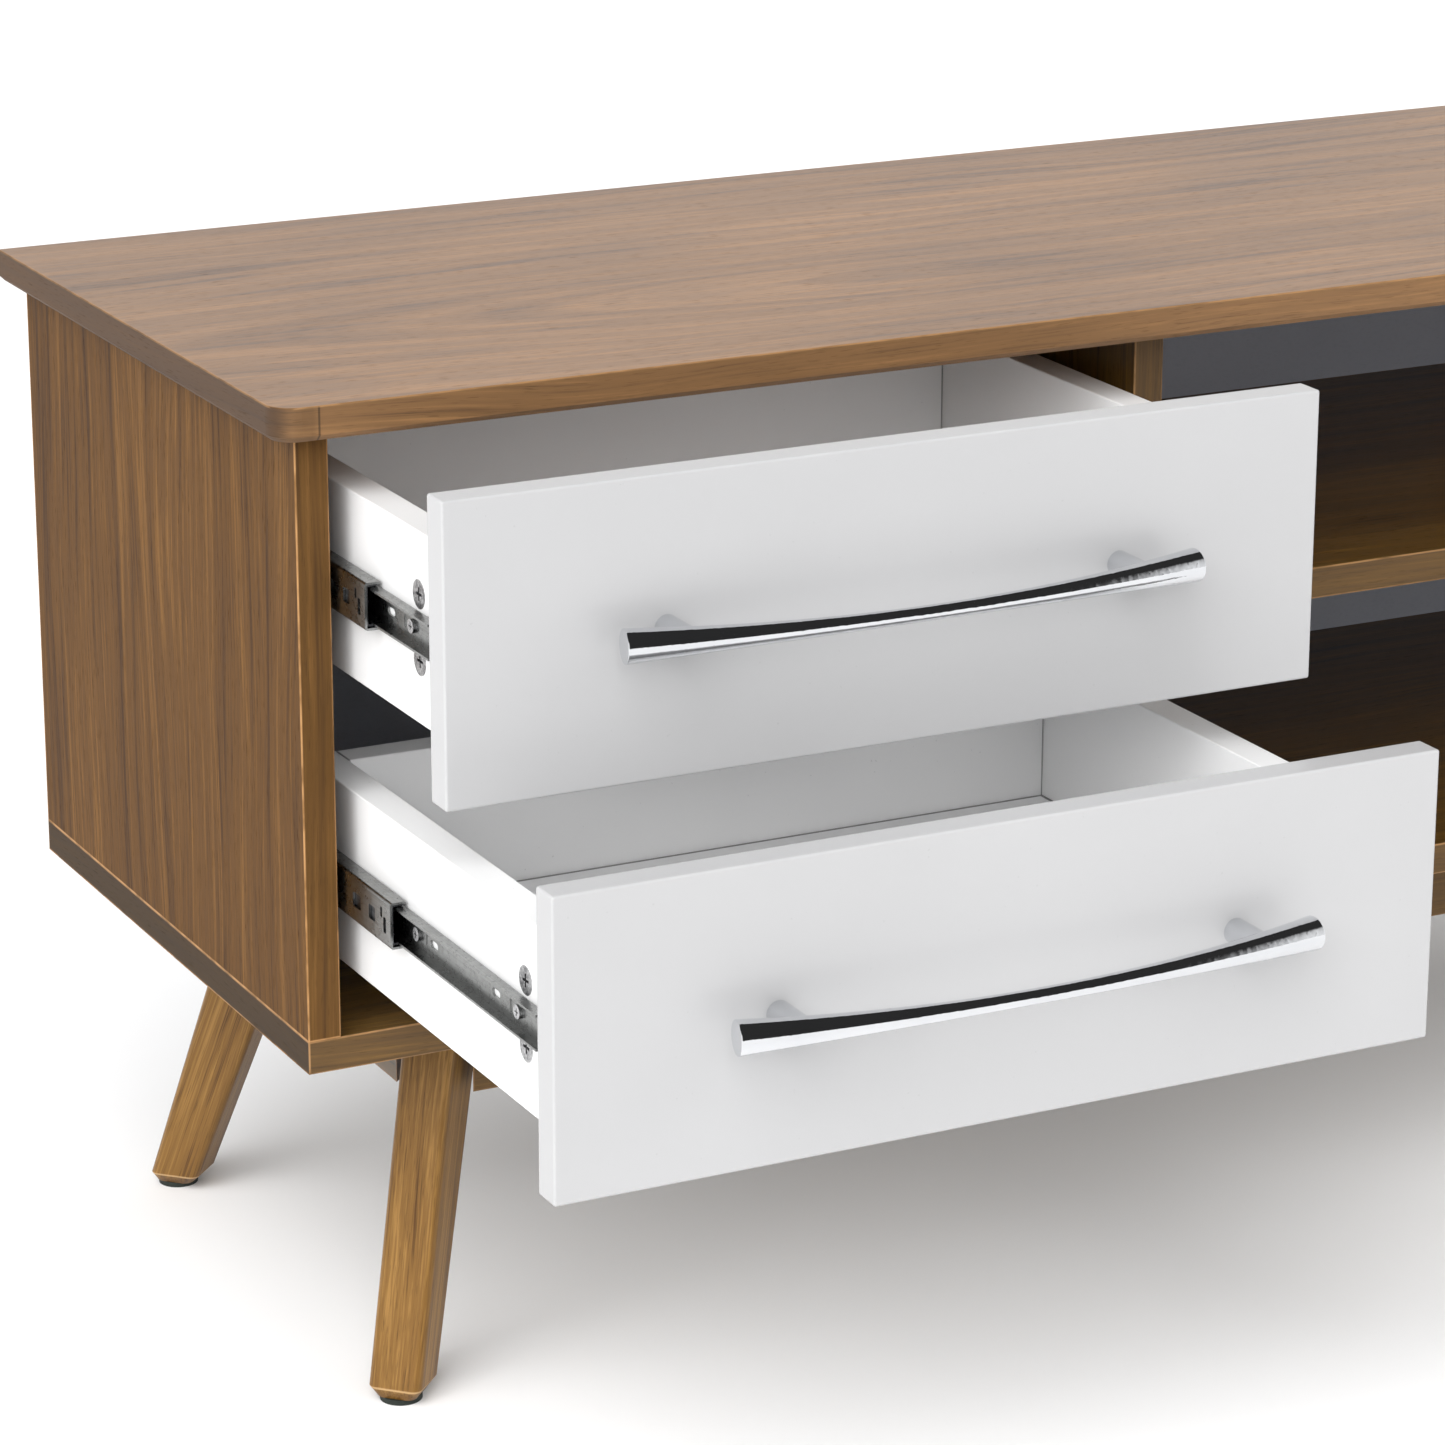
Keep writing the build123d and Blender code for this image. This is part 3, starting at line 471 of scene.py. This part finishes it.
def drawer_floor(node):
    """White-faced hardboard, with a dark joint line where it enters the walls' grooves."""
    shader = Shader(node + "_foil")
    x, y, z = shader.axes()
    cloud = shader.noise(shader.spot, scale=14.0, detail=3.0)
    colour = shader.mix(cloud, tone(236, 236, 237), tone(246, 246, 246))
    line = shader.step(edge_gap(shader, node), *FLOOR_JOINT)
    colour = shader.mix(shader.times(line, 0.8), colour, tone(70, 66, 64))
    fibre = shader.stretched((x, y, z), (500.0, 500.0, 1.0))
    normal = shader.bump(fibre, 0.06, 0.0002)
    gloss = shader.plus(0.46, shader.times(cloud, 0.12))
    return shader.finish(Base_Color=colour, Roughness=gloss, Normal=normal, IOR=1.46)


for name in ("upper_drawer", "lower_drawer"):
    # The fronts take the darker copy of the white: painted shade.
    dress(name + "_front", lacquer(name + "_front", white=FRONT_WHITE_PAINTED_SHADE))
    for side in ("left", "right"):
        dress(f"{name}_{side}_wall", lacquer(f"{name}_{side}_wall"))
    dress(name + "_back_wall", lacquer(name + "_back_wall", joint="x"))
    dress(name + "_floor", drawer_floor(name + "_floor"))


def hardboard():
    """The back panel: bluish grey painted hardboard with a fibrous texture."""
    shader = Shader("back_hardboard")
    cloud = shader.noise(shader.spot, scale=6.0, detail=4.0, rough=0.6)
    fibre = shader.stretched(shader.axes(), (260.0, 1.0, 700.0), detail=3.0, rough=0.65)
    colour = shader.mix(cloud, tone(164, 168, 178), tone(184, 187, 197))
    colour = shader.mix(shader.step(fibre, 0.5, 0.7, 0.0, 0.2), colour, tone(148, 151, 162))
    normal = shader.bump(fibre, 0.12, 0.0003)
    gloss = shader.plus(0.52, shader.times(fibre, 0.16))
    return shader.finish(Base_Color=colour, Roughness=gloss, Normal=normal, IOR=1.45)


dress("back_panel", hardboard())


# ------------------------------------------------------------------ metal and rubber
def chrome():
    """Polished chrome with faint haze and hairline scratches along the bar."""
    shader = Shader("chrome")
    haze = shader.noise(shader.spot, scale=30.0, detail=3.0)
    scratch = shader.stretched(shader.axes(), (20.0, 2600.0, 2600.0), detail=1.0)
    mark = shader.step(scratch, 0.66, 0.76)
    colour = shader.mix(haze, tone(214, 216, 220), tone(232, 233, 235))
    colour = shader.mix(shader.times(mark, 0.15), colour, tone(170, 172, 176))
    gloss = shader.plus(0.035, shader.total((haze, mark), (0.05, 0.08)))
    normal = shader.bump(haze, 0.01, 0.0005)
    return shader.finish(Base_Color=colour, Roughness=gloss, Normal=normal, Metallic=1.0, IOR=2.5)


ROLLED_PACE = 12.0                      # how much rolling streaks change in a metre of their length


def plated(name, dark, light, gloss_low, rolled=True, streak=1400.0, bump=0.06):
    """Plated or cast metal: rolling streaks from front to back, or an even mottle where not rolled."""
    shader = Shader(name)
    pace = (streak, ROLLED_PACE if rolled else streak, streak)
    lines = shader.stretched(shader.axes(), pace, rough=0.6)
    patches = shader.noise(shader.spot, scale=220.0, detail=3.0, rough=0.6)
    value = shader.total((lines, patches), (0.5, 0.5))
    colour = shader.ramp(value, [(0.36, dark), (0.64, light)])
    stain = shader.step(shader.noise(shader.spot, scale=35.0), 0.56, 0.72)
    colour = shader.mix(shader.times(stain, 0.12), colour, dark)
    gloss = shader.plus(gloss_low, shader.total((patches, stain), (0.12, 0.03)))
    normal = shader.bump(value, bump, 0.0002)
    return shader.finish(Base_Color=colour, Roughness=gloss, Normal=normal, Metallic=1.0, IOR=2.0)


def rubber():
    """Dense near-black pad with a fine pitted surface."""
    shader = Shader("glide_rubber")
    pits = shader.noise(shader.spot, scale=1500.0)
    cloud = shader.noise(shader.spot, scale=120.0)
    colour = shader.mix(cloud, tone(20, 26, 22), tone(44, 50, 45))
    normal = shader.bump(pits, 0.3, 0.0002)
    gloss = shader.plus(0.62, shader.times(pits, 0.2))
    return shader.finish(Base_Color=colour, Roughness=gloss, Normal=normal, IOR=1.48)


# The material of the nodes whose names have each ending.
METALS = {
    "_handle": chrome(),
    "_runner": plated("runner_zinc", tone(130, 131, 130), tone(152, 153, 152), 0.22, bump=0.01),
    "_ball_cage": plated("cage_steel", tone(62, 63, 66), tone(108, 109, 112), 0.28),
    "_cam_locks": plated("cast_zinc", tone(120, 120, 122), tone(205, 205, 206), 0.30,
                         rolled=False, streak=900.0, bump=0.25),
    "_screws": plated("screw_steel", tone(150, 150, 152), tone(214, 214, 215), 0.20,
                      rolled=False, streak=1600.0),
    "_glides": rubber(),
}
for node in nodes:
    for ending, material in METALS.items():
        if node.endswith(ending):
            dress(node, material)


# ------------------------------------------------------------------ floor, world and lights
FLOOR_REACH = 40.0


def make_floor():
    """A plain pale floor that runs out of sight."""
    mesh = bpy.data.meshes.new("studio_floor")
    corners = [(-FLOOR_REACH, -FLOOR_REACH, 0), (FLOOR_REACH, -FLOOR_REACH, 0),
               (FLOOR_REACH, FLOOR_REACH, 0), (-FLOOR_REACH, FLOOR_REACH, 0)]
    mesh.from_pydata(corners, [], [(0, 1, 2, 3)])
    floor = bpy.data.objects.new("studio_floor", mesh)
    bpy.context.scene.collection.objects.link(floor)
    shader = Shader("studio_paper")
    cloud = shader.noise(shader.spot, scale=1.3)
    colour = shader.mix(cloud, tone(243, 243, 243), tone(246, 246, 246))
    mesh.materials.append(shader.finish(Base_Color=colour, Roughness=0.8, IOR=1.3))


# The world's edges are in the parts of a direction: x to the right, y to the back, z up.
WORLD_LEVEL = 1.0
DARK_SHARE = 0.97
DARK_DEPTH = (-0.12, -0.42)
DARK_LEFT_EDGE = (-0.50, -0.15)
DARK_RIGHT_EDGE = (0.60, 0.72)
DARK_CEILING = (0.45, 0.66)


def make_world():
    """White surroundings, dark overhead and in front, which the bright metal reflects."""
    world = bpy.data.worlds.new("studio")
    bpy.context.scene.world = world
    world.use_nodes = True
    tree = world.node_tree
    tree.nodes.clear()
    place = tree.nodes.new("ShaderNodeTexCoord")
    split = tree.nodes.new("ShaderNodeSeparateXYZ")
    tree.links.new(place.outputs["Generated"], split.inputs[0])

    def step(value, low, high, to_low, to_high):
        node = tree.nodes.new("ShaderNodeMapRange")
        node.interpolation_type = "SMOOTHSTEP"
        for socket, part in zip(node.inputs[1:5], (low, high, to_low, to_high)):
            socket.default_value = part
        tree.links.new(value, node.inputs[0])
        return node.outputs[0]

    def math_node(operation, first, second):
        node = tree.nodes.new("ShaderNodeMath")
        node.operation = operation
        for socket, value in zip(node.inputs, (first, second)):
            if isinstance(value, bpy.types.NodeSocket):
                tree.links.new(value, socket)
            else:
                socket.default_value = value
        return node.outputs[0]

    right, back, up = split.outputs
    ahead = math_node("MULTIPLY", step(back, *DARK_DEPTH, 0.0, 1.0), step(right, *DARK_LEFT_EDGE, 0.0, 1.0))
    ahead = math_node("MULTIPLY", ahead, step(right, *DARK_RIGHT_EDGE, 1.0, 0.0))
    overhead = step(up, *DARK_CEILING, 0.0, 1.0)
    dark = math_node("MULTIPLY", math_node("MAXIMUM", ahead, overhead), DARK_SHARE)
    level = math_node("MULTIPLY", math_node("SUBTRACT", 1.0, dark), WORLD_LEVEL)
    background = tree.nodes.new("ShaderNodeBackground")
    tree.links.new(level, background.inputs["Strength"])
    output = tree.nodes.new("ShaderNodeOutputWorld")
    tree.links.new(background.outputs[0], output.inputs["Surface"])
    background.inputs["Color"].default_value = (1, 1, 1, 1)


# Each light's name, the way to it, its level and its spread in degrees.
LIGHTS = (
    ("overhead", (-0.05, -0.10, 0.99), 0.20, 60),
    ("left", (-0.72, -0.12, 0.68), 0.30, 50),
    ("front_left", (-0.54, -0.53, 0.65), 0.82, 56),
    ("front_right", (0.55, -0.62, 0.60), 0.16, 50),
    ("front_low", (-0.05, -0.95, 0.26), 0.20, 44),
)


def make_sun(name, towards, level, spread):
    """A broad soft light, not seen in reflections; level is the brightness of a white surface facing it."""
    data = bpy.data.lights.new(name, "SUN")
    data.energy, data.angle = level * math.pi, math.radians(spread)
    light = bpy.data.objects.new(name, data)
    light.rotation_euler = (-Vector(towards)).to_track_quat("-Z", "Y").to_euler()
    light.visible_glossy = False
    bpy.context.scene.collection.objects.link(light)


make_floor()
make_world()
for settings in LIGHTS:
    make_sun(*settings)

bpy.context.scene.view_settings.view_transform = "Standard"
